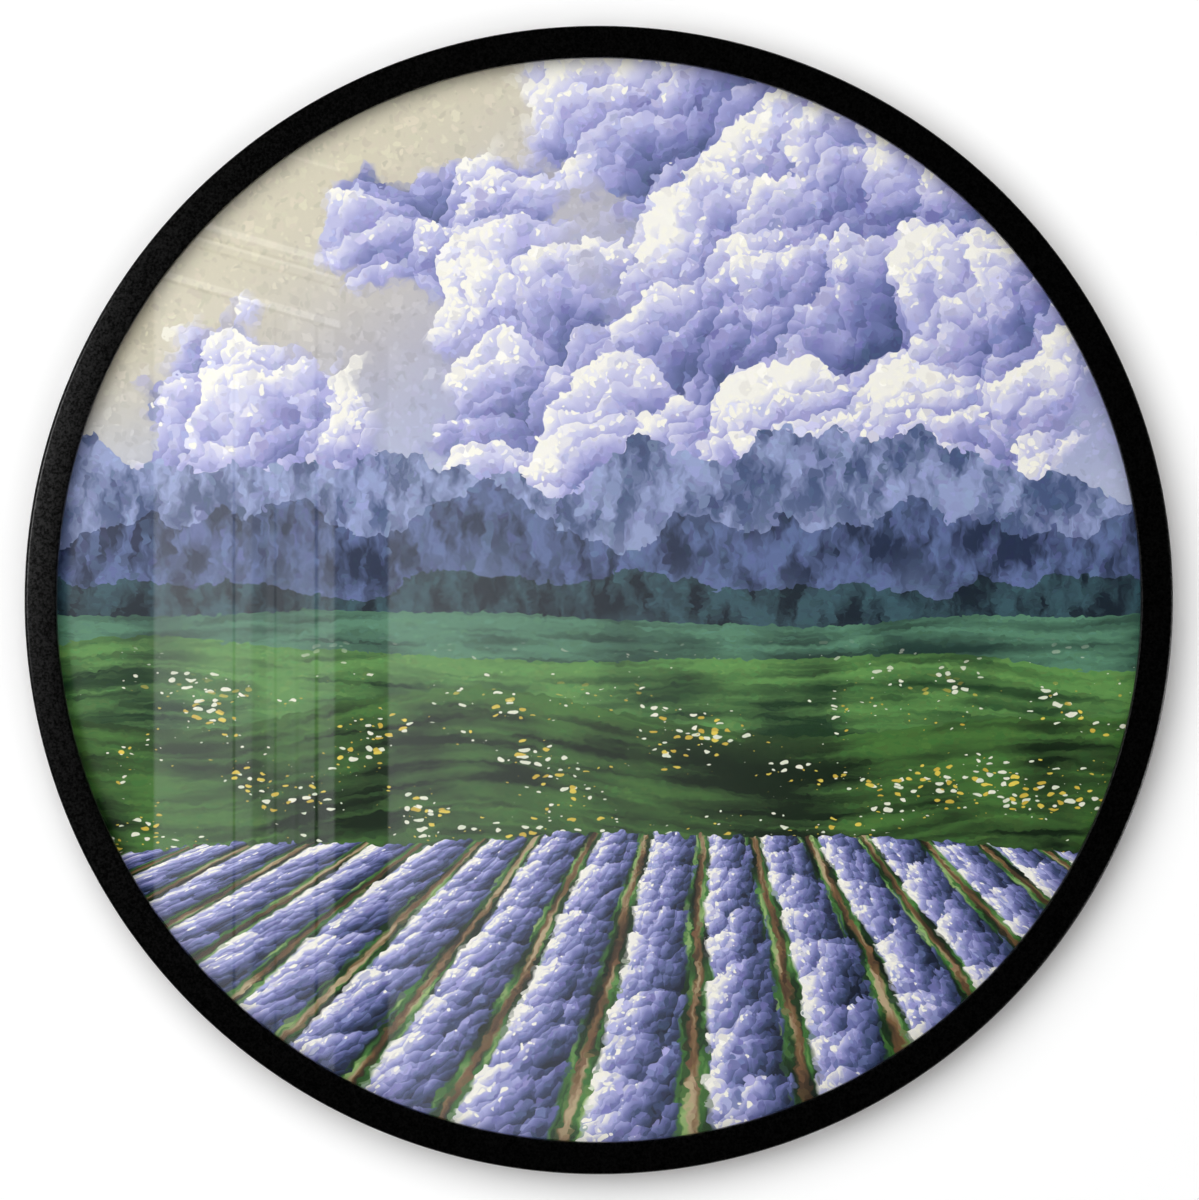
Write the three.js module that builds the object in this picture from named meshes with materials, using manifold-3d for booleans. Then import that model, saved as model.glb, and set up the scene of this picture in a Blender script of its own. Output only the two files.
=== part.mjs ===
// A round framed poster for a wall, in millimetres, with +Z up.
// Its front faces -Y, and the origin is the centre of the backing board's rear face.

import * as THREE from "three";
import { mergeVertices } from "three/addons/utils/BufferGeometryUtils.js";
import Module from "manifold-3d";

const wasm = await Module();
wasm.setup();

// Ring frame, one piece of board, painted
const ringDiameter = 610;
const ringFaceWidth = 17;
const lipOverlap = 6; // how far the lip reaches over the glazing
const lipDepth = 8.7; // from the ring's face to the glazing; with the layers, the ring is 19 deep
const frontOuterRounding = 2;
const frontInnerRounding = 1.2;
const rearChamfer = 0.8;

// Layers behind the lip, the last one flush with the ring's rear
const glazingThickness = 2;
const printThickness = 0.3;
const fillerThickness = 5;
const backingThickness = 3;
const layerClearance = 0.5; // round the layers' edges

// Turn buttons, thin steel plates that reach from the ring over the backing board
const buttonCount = 8;
const buttonReach = 21; // from the pivot to the tip
const buttonInset = 0.5; // from the edges of the ring's rear
const buttonTipRadius = 3.5;
const buttonThickness = 1;
const buttonTipLift = 1.2;
const buttonTipBend = 5; // length of the bend at the tip
const buttonRunning = 0.25; // below the plate and above it

// Screws that the buttons turn on
const screwHeadRadius = 2.8;
const screwHeadHeight = 1.7;
const screwShankRadius = 1.45;
const screwLength = 9.5; // under the head
const screwTipLength = 2.6;
const screwTwist = 0.9; // radians that each cross recess is turned from the last one
const recessSpan = 3.2;
const recessWidth = 0.8;
const recessDepth = 1;

// Sawtooth hanger, a steel strip with an arch for the wall nail's head
const hangerEndLength = 7; // of each flat end
const hangerRampLength = 4;
const hangerTeethLength = 22; // the flat of the arch
const hangerInset = 0.2; // from the edges of the ring's rear
const hangerThickness = 0.9;
const hangerCornerRadius = 2.4;
const hangerArchLift = 2.1;
const toothPitch = 3;
const toothDepth = 1.5;

// Nails that fix the hanger
const nailHeadRadius = 1.8;
const nailHeadHeight = 0.7;
const nailShankRadius = 0.8;
const nailLength = 11; // under the head
const nailTipLength = 2;

// Rubber bumpers against the wall
const bumperCount = 4;
const bumperInset = 0.7; // from the edges of the ring's rear
const bumperHeight = 4;
const bumperRounding = 1;

// Holes are wider and deeper than what goes into them
const holeClearance = 0.3;
const holeEndClearance = 1;

// Smoothness
const ringSegments = 144;
const bumperSegments = 24;
const smallSegments = 16;
const arcDivisions = 2; // each arc of an outline gets twice as many edges
const bendSteps = 6;
const weldTolerance = 1e-4;

// Worked out from the sizes above
const ringRadius = ringDiameter / 2;
const sightRadius = ringRadius - ringFaceWidth;
const rabbetRadius = sightRadius + lipOverlap;
const layerRadius = rabbetRadius - layerClearance;
const backingFront = -backingThickness;
const fillerFront = backingFront - fillerThickness;
const printFront = fillerFront - printThickness;
const glazingFront = printFront - glazingThickness;
const ringFront = glazingFront - lipDepth;
const rearWidth = ringRadius - rabbetRadius;
const rearMiddle = rabbetRadius + rearWidth / 2;
const buttonWidth = rearWidth - 2 * buttonInset;
const buttonStep = (2 * Math.PI) / buttonCount;
const screwSeat = buttonThickness + 2 * buttonRunning;
const bumperRadius = rearWidth / 2 - bumperInset;
const bumperStep = (2 * Math.PI) / bumperCount;
const archFlatHalf = hangerTeethLength / 2;
const archHalf = archFlatHalf + hangerRampLength;
const hangerHalf = archHalf + hangerEndLength;
const nailOffset = archHalf + hangerEndLength / 2;
const hangerBottom = rabbetRadius + hangerInset;
const hangerTop = Math.sqrt((ringRadius - rearChamfer) ** 2 - hangerHalf ** 2) - hangerInset;
const hangerHeight = (hangerBottom + hangerTop) / 2;
const hangerWidth = hangerTop - hangerBottom;
const toothCount = 2 * Math.floor(archFlatHalf / toothPitch - 1 / 2) + 1; // odd, with a notch in the middle

// Finishes
const finish = (color, roughness, metalness = 0) =>
  new THREE.MeshStandardMaterial({ color, roughness, metalness });
const blackPaint = finish("#0b0b0c", 0.6);
const hardboard = finish("#7d5a3c", 0.75);
const foamBoard = finish("#eeece6", 0.8);
const printedPaper = finish("#8f9ec4", 0.55);
const zincSteel = finish("#b9bcc0", 0.35, 1);
const brightSteel = finish("#c9c9c6", 0.3, 1);
const blackRubber = finish("#1c1c1d", 0.85);
const clearSheet = finish("#eef3f5", 0.05);
clearSheet.transparent = true;
clearSheet.opacity = 0.25;

function named(name, geometry, material) {
  const mesh = new THREE.Mesh(geometry, material);
  mesh.name = name;
  return mesh;
}

// A body turned about the Y axis, from an outline of (radius, y) points
function turned(outline, segments) {
  return new THREE.LatheGeometry(outline, segments);
}

function solidOf(geometry) {
  const bare = geometry.clone();
  bare.deleteAttribute("normal");
  bare.deleteAttribute("uv");
  const merged = mergeVertices(bare, weldTolerance);
  const vertProperties = merged.attributes.position.array;
  const triVerts = new Uint32Array(merged.index.array);
  return new wasm.Manifold(new wasm.Mesh({ numProp: 3, vertProperties, triVerts }));
}

function geometryOf(solid) {
  const { vertProperties, triVerts } = solid.getMesh();
  const shared = new THREE.BufferGeometry();
  shared.setAttribute("position", new THREE.BufferAttribute(vertProperties, 3));
  shared.setIndex(new THREE.BufferAttribute(triVerts, 1));
  const faceted = shared.toNonIndexed();
  faceted.computeVertexNormals();
  return faceted;
}

// The point on the rear of the ring at a radius and an angle, counted from +X towards +Z
function onRear(radius, angle, y = 0) {
  return new THREE.Vector3(radius * Math.cos(angle), y, radius * Math.sin(angle));
}

const buttonAngle = (index) => (index + 0.5) * buttonStep;
const bumperAngle = (index) => (index + 0.5) * bumperStep;
const nailPlace = (side) => new THREE.Vector3(side * nailOffset, 0, hangerHeight);

// A round hole into the ring's rear for a shank that reaches a depth
function rearHole(place, shankRadius, depth) {
  const radius = shankRadius + holeClearance;
  const length = 2 * (depth + holeEndClearance);
  const hole = new THREE.CylinderGeometry(radius, radius, length, smallSegments);
  hole.translate(place.x, 0, place.z);
  return solidOf(hole);
}

function ringOutline() {
  const outline = new THREE.Path();
  const outerRoundingAt = ringRadius - frontOuterRounding;
  const innerRoundingAt = sightRadius + frontInnerRounding;
  outline.moveTo(innerRoundingAt, ringFront);
  outline.lineTo(outerRoundingAt, ringFront);
  outline.absarc(outerRoundingAt, ringFront + frontOuterRounding, frontOuterRounding, -Math.PI / 2, 0);
  outline.lineTo(ringRadius, -rearChamfer);
  outline.lineTo(ringRadius - rearChamfer, 0);
  outline.lineTo(rabbetRadius, 0);
  outline.lineTo(rabbetRadius, glazingFront);
  outline.lineTo(sightRadius, glazingFront);
  outline.lineTo(sightRadius, ringFront + frontInnerRounding);
  outline.absarc(innerRoundingAt, ringFront + frontInnerRounding, frontInnerRounding, Math.PI, 1.5 * Math.PI);
  return outline.getPoints(arcDivisions);
}

function frameRing() {
  let ring = solidOf(turned(ringOutline(), ringSegments));
  for (let index = 0; index < buttonCount; index += 1) {
    const place = onRear(rearMiddle, buttonAngle(index));
    ring = ring.subtract(rearHole(place, screwShankRadius, screwLength - screwSeat));
  }
  for (const side of [-1, 1]) {
    ring = ring.subtract(rearHole(nailPlace(side), nailShankRadius, nailLength - hangerThickness));
  }
  return named("frame_ring", geometryOf(ring), blackPaint);
}

// A flat round layer in the rabbet
function layer(name, front, thickness, material) {
  const outline = [
    new THREE.Vector2(0, front),
    new THREE.Vector2(layerRadius, front),
    new THREE.Vector2(layerRadius, front + thickness),
    new THREE.Vector2(0, front + thickness),
  ];
  return named(name, turned(outline, ringSegments), material);
}

// Evenly spread places along a bend, both ends included
function alongBend(from, to) {
  return Array.from({ length: bendSteps + 1 }, (_, step) => from + ((to - from) * step) / bendSteps);
}

// A strip of one thickness along X, whose underside follows a height from place to place,
// cut to a plan drawn in X and Z
function stampedPlate(heightAt, places, thickness, width, plan) {
  const side = new THREE.Shape();
  side.moveTo(places[0], heightAt(places[0]));
  for (const x of places.slice(1)) {
    side.lineTo(x, heightAt(x));
  }
  for (const x of places.toReversed()) {
    side.lineTo(x, heightAt(x) + thickness);
  }
  const strip = new THREE.ExtrudeGeometry(side, { depth: width, bevelEnabled: false });
  strip.translate(0, 0, -width / 2);
  const top = Math.max(...places.map(heightAt)) + thickness;
  const cutter = new THREE.ExtrudeGeometry(plan, {
    depth: 3 * top,
    bevelEnabled: false,
    curveSegments: smallSegments / 2,
  });
  cutter.rotateX(Math.PI / 2);
  cutter.translate(0, 2 * top, 0);
  return geometryOf(solidOf(strip).intersect(solidOf(cutter)));
}

function roundHole(x, y, radius) {
  const hole = new THREE.Path();
  hole.absarc(x, y, radius, 0, 2 * Math.PI, true);
  return hole;
}

// Two round ends of different sizes, joined by straight flanks that touch both
function buttonPlan() {
  const endRadius = buttonWidth / 2;
  const tipAt = buttonReach - buttonTipRadius;
  const flank = Math.acos((endRadius - buttonTipRadius) / tipAt);
  const plan = new THREE.Shape();
  plan.absarc(0, 0, endRadius, flank, 2 * Math.PI - flank);
  plan.absarc(tipAt, 0, buttonTipRadius, -flank, flank);
  plan.holes.push(roundHole(0, 0, screwShankRadius + holeClearance));
  return plan;
}

function turnButtonShape() {
  const bendAt = buttonReach - buttonTipBend;
  const heightAt = (x) => buttonTipLift * THREE.MathUtils.smoothstep(x, bendAt, buttonReach);
  const places = [-buttonWidth / 2, ...alongBend(bendAt, buttonReach)];
  return stampedPlate(heightAt, places, buttonThickness, buttonWidth, buttonPlan());
}

// At rest each button points from its pivot to the middle of the back
function turnButtons() {
  const buttons = new THREE.Group();
  const shape = turnButtonShape();
  for (let index = 0; index < buttonCount; index += 1) {
    const button = named("turn_button_" + (index + 1), shape, zincSteel);
    button.position.copy(onRear(rearMiddle, buttonAngle(index), buttonRunning));
    button.rotation.y = Math.PI - buttonAngle(index);
    buttons.add(button);
  }
  return buttons;
}

// The head's underside is at y = 0
function screwShape() {
  const outline = new THREE.Path();
  const domeAt = screwHeadHeight / 2;
  outline.moveTo(0, -screwLength);
  outline.lineTo(screwShankRadius, screwTipLength - screwLength);
  outline.lineTo(screwShankRadius, 0);
  outline.lineTo(screwHeadRadius, 0);
  outline.lineTo(screwHeadRadius, domeAt);
  outline.absellipse(0, domeAt, screwHeadRadius, screwHeadHeight - domeAt, 0, Math.PI / 2, false, 0);
  const recessAt = screwHeadHeight - recessDepth / 2;
  let screw = solidOf(turned(outline.getPoints(arcDivisions), smallSegments));
  for (const [sizeX, sizeZ] of [[recessSpan, recessWidth], [recessWidth, recessSpan]]) {
    const slot = new THREE.BoxGeometry(sizeX, recessDepth, sizeZ);
    slot.translate(0, recessAt, 0);
    screw = screw.subtract(solidOf(slot));
  }
  return geometryOf(screw);
}

function buttonScrews() {
  const screws = new THREE.Group();
  const shape = screwShape();
  for (let index = 0; index < buttonCount; index += 1) {
    const screw = named("turn_button_screw_" + (index + 1), shape, brightSteel);
    screw.position.copy(onRear(rearMiddle, buttonAngle(index), screwSeat));
    screw.rotation.y = index * screwTwist;
    screws.add(screw);
  }
  return screws;
}

// Seen from behind: round corners, teeth along the lower edge and a nail hole at each end
function hangerPlan() {
  const plan = new THREE.Shape();
  const half = hangerWidth / 2;
  const cornerX = hangerHalf - hangerCornerRadius;
  const cornerY = half - hangerCornerRadius;
  const quarter = Math.PI / 2;
  plan.moveTo((-toothCount / 2) * toothPitch, -half);
  for (let tooth = 0; tooth < toothCount; tooth += 1) {
    const start = (tooth - toothCount / 2) * toothPitch;
    plan.lineTo(start + toothPitch / 2, toothDepth - half);
    plan.lineTo(start + toothPitch, -half);
  }
  plan.absarc(cornerX, -cornerY, hangerCornerRadius, -quarter, 0);
  plan.absarc(cornerX, cornerY, hangerCornerRadius, 0, quarter);
  plan.absarc(-cornerX, cornerY, hangerCornerRadius, quarter, 2 * quarter);
  plan.absarc(-cornerX, -cornerY, hangerCornerRadius, 2 * quarter, 3 * quarter);
  for (const side of [-1, 1]) {
    plan.holes.push(roundHole(side * nailOffset, 0, nailShankRadius + holeClearance));
  }
  return plan;
}

function sawtoothHanger() {
  const heightAt = (x) =>
    hangerArchLift * (1 - THREE.MathUtils.smoothstep(Math.abs(x), archFlatHalf, archHalf));
  const ramps = [...alongBend(-archHalf, -archFlatHalf), ...alongBend(archFlatHalf, archHalf)];
  const places = [-hangerHalf, ...ramps, hangerHalf];
  const shape = stampedPlate(heightAt, places, hangerThickness, hangerWidth, hangerPlan());
  const hanger = named("sawtooth_hanger", shape, zincSteel);
  hanger.position.z = hangerHeight;
  return hanger;
}

function nailShape() {
  const outline = [
    new THREE.Vector2(0, -nailLength),
    new THREE.Vector2(nailShankRadius, nailTipLength - nailLength),
    new THREE.Vector2(nailShankRadius, 0),
    new THREE.Vector2(nailHeadRadius, 0),
    new THREE.Vector2(nailHeadRadius, nailHeadHeight / 2),
    new THREE.Vector2(nailHeadRadius / 2, nailHeadHeight),
    new THREE.Vector2(0, nailHeadHeight),
  ];
  return turned(outline, smallSegments);
}

function hangerNails() {
  const nails = new THREE.Group();
  const shape = nailShape();
  for (const [name, side] of [["hanger_nail_left", -1], ["hanger_nail_right", 1]]) {
    const nail = named(name, shape, brightSteel);
    nail.position.copy(nailPlace(side));
    nail.position.y = hangerThickness;
    nails.add(nail);
  }
  return nails;
}

function bumperShape() {
  const outline = new THREE.Path();
  const roundingAt = bumperRadius - bumperRounding;
  outline.moveTo(0, 0);
  outline.lineTo(bumperRadius, 0);
  outline.lineTo(bumperRadius, bumperHeight - bumperRounding);
  outline.absarc(roundingAt, bumperHeight - bumperRounding, bumperRounding, 0, Math.PI / 2);
  outline.lineTo(0, bumperHeight);
  return turned(outline.getPoints(arcDivisions), bumperSegments);
}

function wallBumpers() {
  const bumpers = new THREE.Group();
  const shape = bumperShape();
  for (let index = 0; index < bumperCount; index += 1) {
    const bumper = named("wall_bumper_" + (index + 1), shape, blackRubber);
    bumper.position.copy(onRear(rearMiddle, bumperAngle(index)));
    bumpers.add(bumper);
  }
  return bumpers;
}

const poster = new THREE.Group();
poster.add(
  frameRing(),
  layer("glazing_panel", glazingFront, glazingThickness, clearSheet),
  layer("poster_print", printFront, printThickness, printedPaper),
  layer("filler_board", fillerFront, fillerThickness, foamBoard),
  layer("backing_board", backingFront, backingThickness, hardboard),
  turnButtons(),
  buttonScrews(),
  sawtoothHanger(),
  hangerNails(),
  wallBumpers(),
);

export default poster;
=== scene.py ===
"""The looks of a round framed poster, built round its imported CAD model.

Blender 4.5, in metres, with +Z up. The front faces -Y and the wall is behind it.
The sizes below are in millimetres, and each mesh is made in them.
"""

from functools import partial
from math import acos, atan2, cos, pi, radians, sin, sqrt, tau

import bpy
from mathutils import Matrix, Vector
from mathutils.geometry import delaunay_2d_cdt

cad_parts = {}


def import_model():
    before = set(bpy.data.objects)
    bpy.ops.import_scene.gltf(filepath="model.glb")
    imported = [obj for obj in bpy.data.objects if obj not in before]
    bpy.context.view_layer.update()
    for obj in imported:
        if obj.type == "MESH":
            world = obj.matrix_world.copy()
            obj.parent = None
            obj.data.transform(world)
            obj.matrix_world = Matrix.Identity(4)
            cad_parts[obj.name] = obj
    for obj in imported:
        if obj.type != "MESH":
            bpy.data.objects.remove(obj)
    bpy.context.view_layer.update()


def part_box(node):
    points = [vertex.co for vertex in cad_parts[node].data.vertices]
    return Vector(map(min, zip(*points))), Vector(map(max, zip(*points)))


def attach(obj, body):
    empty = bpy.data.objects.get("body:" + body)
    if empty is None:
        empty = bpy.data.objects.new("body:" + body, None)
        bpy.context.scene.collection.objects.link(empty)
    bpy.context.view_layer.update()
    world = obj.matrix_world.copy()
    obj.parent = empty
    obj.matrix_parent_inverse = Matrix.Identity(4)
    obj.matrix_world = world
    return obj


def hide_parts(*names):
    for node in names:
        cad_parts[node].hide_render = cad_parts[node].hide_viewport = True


MM = 0.001

# Ring
RING_RADIUS = 305
SIGHT_RADIUS = 288
RABBET_RADIUS = 294
RING_FRONT = -19
GLAZING_FRONT = -10.3
OUTER_ROUNDING = 2
INNER_ROUNDING = 1.2
REAR_CHAMFER = 0.8
RABBET_EASE = 0.2
SIGHT_EASE = 0.15
RING_SEGMENTS = 720
REAR_MIDDLE = (RABBET_RADIUS + RING_RADIUS) / 2
REAR_WIDTH = RING_RADIUS - RABBET_RADIUS

# Round layers behind the lip
LAYER_SEGMENTS = 360
GLAZING_BEVEL = 0.3
GLAZING_GAP = 0.05
BOARD_EASE = 0.4
PRINT_EASE = 0.05
FACING_PAPER = 0.4
FOAM_SHRINK = 0.25
FACES_FRONT = -0.9
ACRYLIC_IOR = 1.49
MIRRORING_FACES = 1.9

# Turn buttons
BUTTON_COUNT = 8
BUTTON_REACH = 21
BUTTON_WIDTH = REAR_WIDTH - 1
BUTTON_TIP_RADIUS = 3.5
BUTTON_THICKNESS = 1
BUTTON_TIP_LIFT = 1.2
BUTTON_TIP_BEND = 5
BUTTON_HOLE_RADIUS = 1.75
BUTTON_RUNNING = 0.25

# Screws
HEAD_RADIUS = 2.8
HEAD_HEIGHT = 1.7
HEAD_EASE = 0.15
SHANK_RADIUS = 1.45
SCREW_LENGTH = 9.5
SCREW_TIP = 2.6
TIP_STEPS = 8
SCREW_TWIST = 0.9
SCREW_SEAT = BUTTON_THICKNESS + 2 * BUTTON_RUNNING
THREAD_PITCH = 1.2
THREAD_DEPTH = 0.3
ROWS_PER_PITCH = 6
RECESS_SPAN = 3.2
RECESS_WIDTH = 0.8
RECESS_DEPTH = 1
RECESS_TAPER = 0.3

# Sawtooth hanger
HANGER_END = 7
HANGER_RAMP = 4
HANGER_TEETH = 22
HANGER_THICKNESS = 0.9
HANGER_CORNER = 2.4
HANGER_LIFT = 2.1
HANGER_HOLE_RADIUS = 1.1
TOOTH_PITCH = 3
TOOTH_DEPTH = 1.5
TOOTH_COUNT = 7

# Nails
NAIL_HEAD_RADIUS = 1.8
NAIL_HEAD_HEIGHT = 0.7
NAIL_SHANK_RADIUS = 0.8
NAIL_LENGTH = 11
NAIL_TIP = 2
NAIL_EASE = 0.1
NAIL_GROOVES = 5
GROOVE_PITCH = 0.5
GROOVE_HALF = 0.2
GROOVE_NECK = 0.9
LAST_GROOVE = 1

# Rubber bumpers
BUMPER_COUNT = 4
BUMPER_RADIUS = 4.8
BUMPER_HEIGHT = 4
BUMPER_ROUNDING = 1
BUMPER_EASE = 0.2
BUMPER_DIMPLE = 0.35
DIMPLE_STEPS = 6
BUMPER_SEGMENTS = 48

# Steel plates and small round parts
SMALL_SEGMENTS = 32
PLATE_EASE = 0.18
PLATE_EASE_STEPS = 3
BEND_STEPS = 8

# Picture: a generic valley with flower rows, painted in round dabs. Its places and sizes are in sight
# radii from its middle, X to the right and Y up, and its light comes from the upper left.
SUN = Vector((-0.6, 0.8, 0))
HORIZON = 0.02
VANISHING = (0.2, -0.02)
ROW_SPACING = 0.24
SMALLEST_DAB = 3.4 / SIGHT_RADIUS
FLOWER_PITCH = 6.9 / SIGHT_RADIUS
DEPTH_BASE = 2.71828
INK_DEPTH = 1.08

# The photograph: the ring's width in it, and the camera's distance from the ring's face
IMAGE_WIDTH = 1199
IMAGE_HEIGHT = 1200
RING_PIXELS = 1148
RING_CENTRE = (598.8, 600)
CAMERA_DISTANCE = 6000
SENSOR = 36

# The white wall: half its width, where it fades into the white room, and half the width of the band of
# it that the ring's side mirrors
WALL_HALF = 1500
WALL_FADE = (450, 900)
BESIDE_RING = 20

# The room that the clear sheet mirrors: how far it is, and the fall of its mouldings
ROOM_DISTANCE = 4500
ROOM_SLANT = 0.286

# The setting that a node's mode goes to, where it isn't the operation
MODES = {
    "MapRange": "interpolation_type",
    "Mix": "data_type",
    "TexNoise": "noise_dimensions",
    "TexVoronoi": "voronoi_dimensions",
}


def linear(code):
    """An sRGB hex colour as linear red, green, blue and a full alpha."""
    parts = [int(code[k:k + 2], 16) / 255 for k in (1, 3, 5)]
    return [p / 12.92 if p <= 0.04045 else ((p + 0.055) / 1.055) ** 2.4 for p in parts] + [1]


def add_node(tree, kind, *values, out=None, stops=None, **named):
    """Add a node, such as "Math ADD" with its mode, and give back one output. The values go into the
    sockets that the mode has, in their order. A value named with a capital letter goes into the socket
    of that name, and any other named value is a setting of the node."""
    kind, _, mode = kind.partition(" ")
    node = tree.nodes.new(kind if "Node" in kind else "ShaderNode" + kind)
    if mode:
        setattr(node, MODES.get(kind, "operation"), mode)
    for name, value in named.items():
        if name.islower():
            setattr(node, name, value)
    if stops:
        ramp = node.color_ramp.elements
        for _ in range(len(stops) - 2):
            ramp.new(0.5)
        for element, (position, code) in zip(ramp, stops.items()):
            element.position = position
            element.color = linear(code)
    links = list(zip([socket for socket in node.inputs if socket.enabled], values))
    links += [(node.inputs[name.replace("_", " ")], named[name]) for name in named if not name.islower()]
    for socket, value in links:
        if isinstance(value, bpy.types.NodeSocket):
            tree.links.new(value, socket)
        else:
            socket.default_value = linear(value) if isinstance(value, str) else value
    return node.outputs[out] if out else next((socket for socket in node.outputs if socket.enabled), None)


def new_material(name):
    """An empty material, and the function that adds nodes to it."""
    material = bpy.data.materials.new(name)
    material.use_nodes = True
    material.node_tree.nodes.clear()
    return material, partial(add_node, material.node_tree)


def node_group(name, kind, inputs, outputs):
    """A node group, the function that adds nodes to it, and what it is given."""
    tree = bpy.data.node_groups.new(name, kind + "NodeTree")
    for way, sockets in (("INPUT", inputs), ("OUTPUT", outputs)):
        for socket, value in sockets.items():
            tree.interface.new_socket(socket, in_out=way, socket_type="NodeSocket" + value)
    return tree, partial(add_node, tree), tree.nodes.new("NodeGroupInput").outputs


# Mesh code


def object_of(name, data):
    """An object in the scene, with its mesh or other data."""
    made = bpy.data.objects.new(name, data)
    bpy.context.scene.collection.objects.link(made)
    return made


def piece_of(name, points, faces, *finishes):
    """An object from points in millimetres."""
    mesh = bpy.data.meshes.new(name)
    mesh.from_pydata([Vector(point) * MM for point in points], [], faces)
    for finish in finishes:
        mesh.materials.append(finish)
    return object_of(name, mesh)


def smoothed(piece, sharp=30):
    """Smooth shading, except across edges sharper than an angle in degrees."""
    piece.data.shade_smooth()
    piece.data.set_sharp_from_angle(angle=radians(sharp))
    return piece


def arc(middle, radius, start, end, steps=6, height=None):
    """Points along an arc of a circle, or of an ellipse where it has another height, in degrees."""
    angles = [radians(start + (end - start) * k / steps) for k in range(steps + 1)]
    return [(middle[0] + radius * cos(a), middle[1] + (height or radius) * sin(a)) for a in angles]


def eased(front, rear, radius, ease, steps=4):
    """The rounded rim of a round layer, from its front to its rear."""
    start = arc((radius - ease, front + ease), ease, -90, 0, steps)
    return start + arc((radius - ease, rear - ease), ease, 0, 90, steps)


def turned(name, outline, segments, *finishes):
    """A closed body turned about the Y axis, from (radius, y) points that start and end on it."""
    points = []
    rows = []
    for radius, y in outline:
        count = segments if radius > 1e-6 else 1
        rows.append(range(len(points), len(points) + count))
        angles = [tau * k / segments for k in range(count)]
        points += [(radius * cos(angle), y, radius * sin(angle)) for angle in angles]
    faces = []
    for low, high in zip(rows, rows[1:]):
        for k in range(segments):
            here, following = k, k + 1
            corners = [row[turn % len(row)] for row, turn in
                       ((low, here), (high, here), (high, following), (low, following))]
            faces.append(list(dict.fromkeys(corners)))
    return piece_of(name, points, faces, *finishes)


def inset(loop, distance):
    """A closed loop of flat points, moved to its left."""
    moved = []
    for k, here in enumerate(loop):
        before = (here - loop[k - 1]).normalized()
        after = (loop[(k + 1) % len(loop)] - here).normalized()
        left = Vector((-before.y - after.y, before.x + after.x))
        moved.append(here + left * distance / (1 + before.dot(after)))
    return moved


def plate(name, loops, ties, height_at, thickness, finish):
    """A stamped plate with eased edges. The first loop of (x, z) points runs round it and the others
    round its holes, with the steel on their left. Ties are pairs of points joined across a bend."""
    rows = []
    for k in range(PLATE_EASE_STEPS + 1):
        turn = radians(90 * k / PLATE_EASE_STEPS)
        rows.append((PLATE_EASE * (1 - sin(turn)), PLATE_EASE * (1 - cos(turn))))
    rows += [(distance, thickness - y) for distance, y in reversed(rows)]
    points = []
    faces = []
    count = sum(len(loop) for loop in loops)
    for distance, y in rows:
        for loop in loops:
            points += [(p.x, height_at(p.x) + y, p.y) for p in inset(loop, distance)]
    start = 0
    borders = []
    for loop in loops:
        size = len(loop)
        borders.append(list(range(start, start + size)))
        for row in range(len(rows) - 1):
            for k in range(size):
                low, high = row * count + start + k, row * count + start + (k + 1) % size
                faces.append((low, low + count, high + count, high))
        start += size
    flat = [p for loop in loops for p in inset(loop, PLATE_EASE)]
    _, _, triangles, _, _, owners = delaunay_2d_cdt(flat, ties, borders, 1, 1e-7)
    rear = (len(rows) - 1) * count
    for triangle, owner in zip(triangles, owners):
        if len(owner) == len(loops):
            faces.append(triangle)
            faces.append([corner + rear for corner in reversed(triangle)])
    return smoothed(piece_of(name, points, faces, finish))


def pair_at(loop, x):
    """The two points of a loop at one place along X."""
    return tuple(k for k, point in enumerate(loop) if abs(point.x - x) < 1e-4)


def with_stations(loop, stations):
    """A loop with a point wherever its edges pass a station along X."""
    full = []
    for k, here in enumerate(loop):
        following = loop[(k + 1) % len(loop)]
        low, high = min(here.x, following.x), max(here.x, following.x)
        passed = [x for x in stations if low + 1e-4 < x < high - 1e-4]
        full.append(here)
        for x in sorted(passed, reverse=following.x < here.x):
            full.append(here.lerp(following, (x - here.x) / (following.x - here.x)))
    return full


def ramp_up(value, start, end):
    """0 before the start, 1 after the end, smooth between."""
    part = min(max((value - start) / (end - start), 0), 1)
    return part * part * (3 - 2 * part)


def round_hole(x, radius):
    """A hole's loop, with the steel on its left."""
    angles = [-tau * k / SMALL_SEGMENTS for k in range(SMALL_SEGMENTS)]
    return [Vector((x + radius * cos(angle), radius * sin(angle))) for angle in angles]


def placed(piece, offset, angle=0):
    """Turn a piece's mesh about the Y axis, then move it, in millimetres."""
    for vertex in piece.data.vertices:
        x, y, z = vertex.co
        vertex.co = (x * cos(angle) + z * sin(angle), y, z * cos(angle) - x * sin(angle))
        vertex.co += Vector(offset) * MM
    return piece


def dress(piece, body, slot, *nodes):
    """Attach a piece to the body it moves with, and hide the CAD parts it stands for. Its slot is not
    used.
    """
    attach(piece, body)
    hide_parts(*nodes)


# Geometry Nodes


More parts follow.
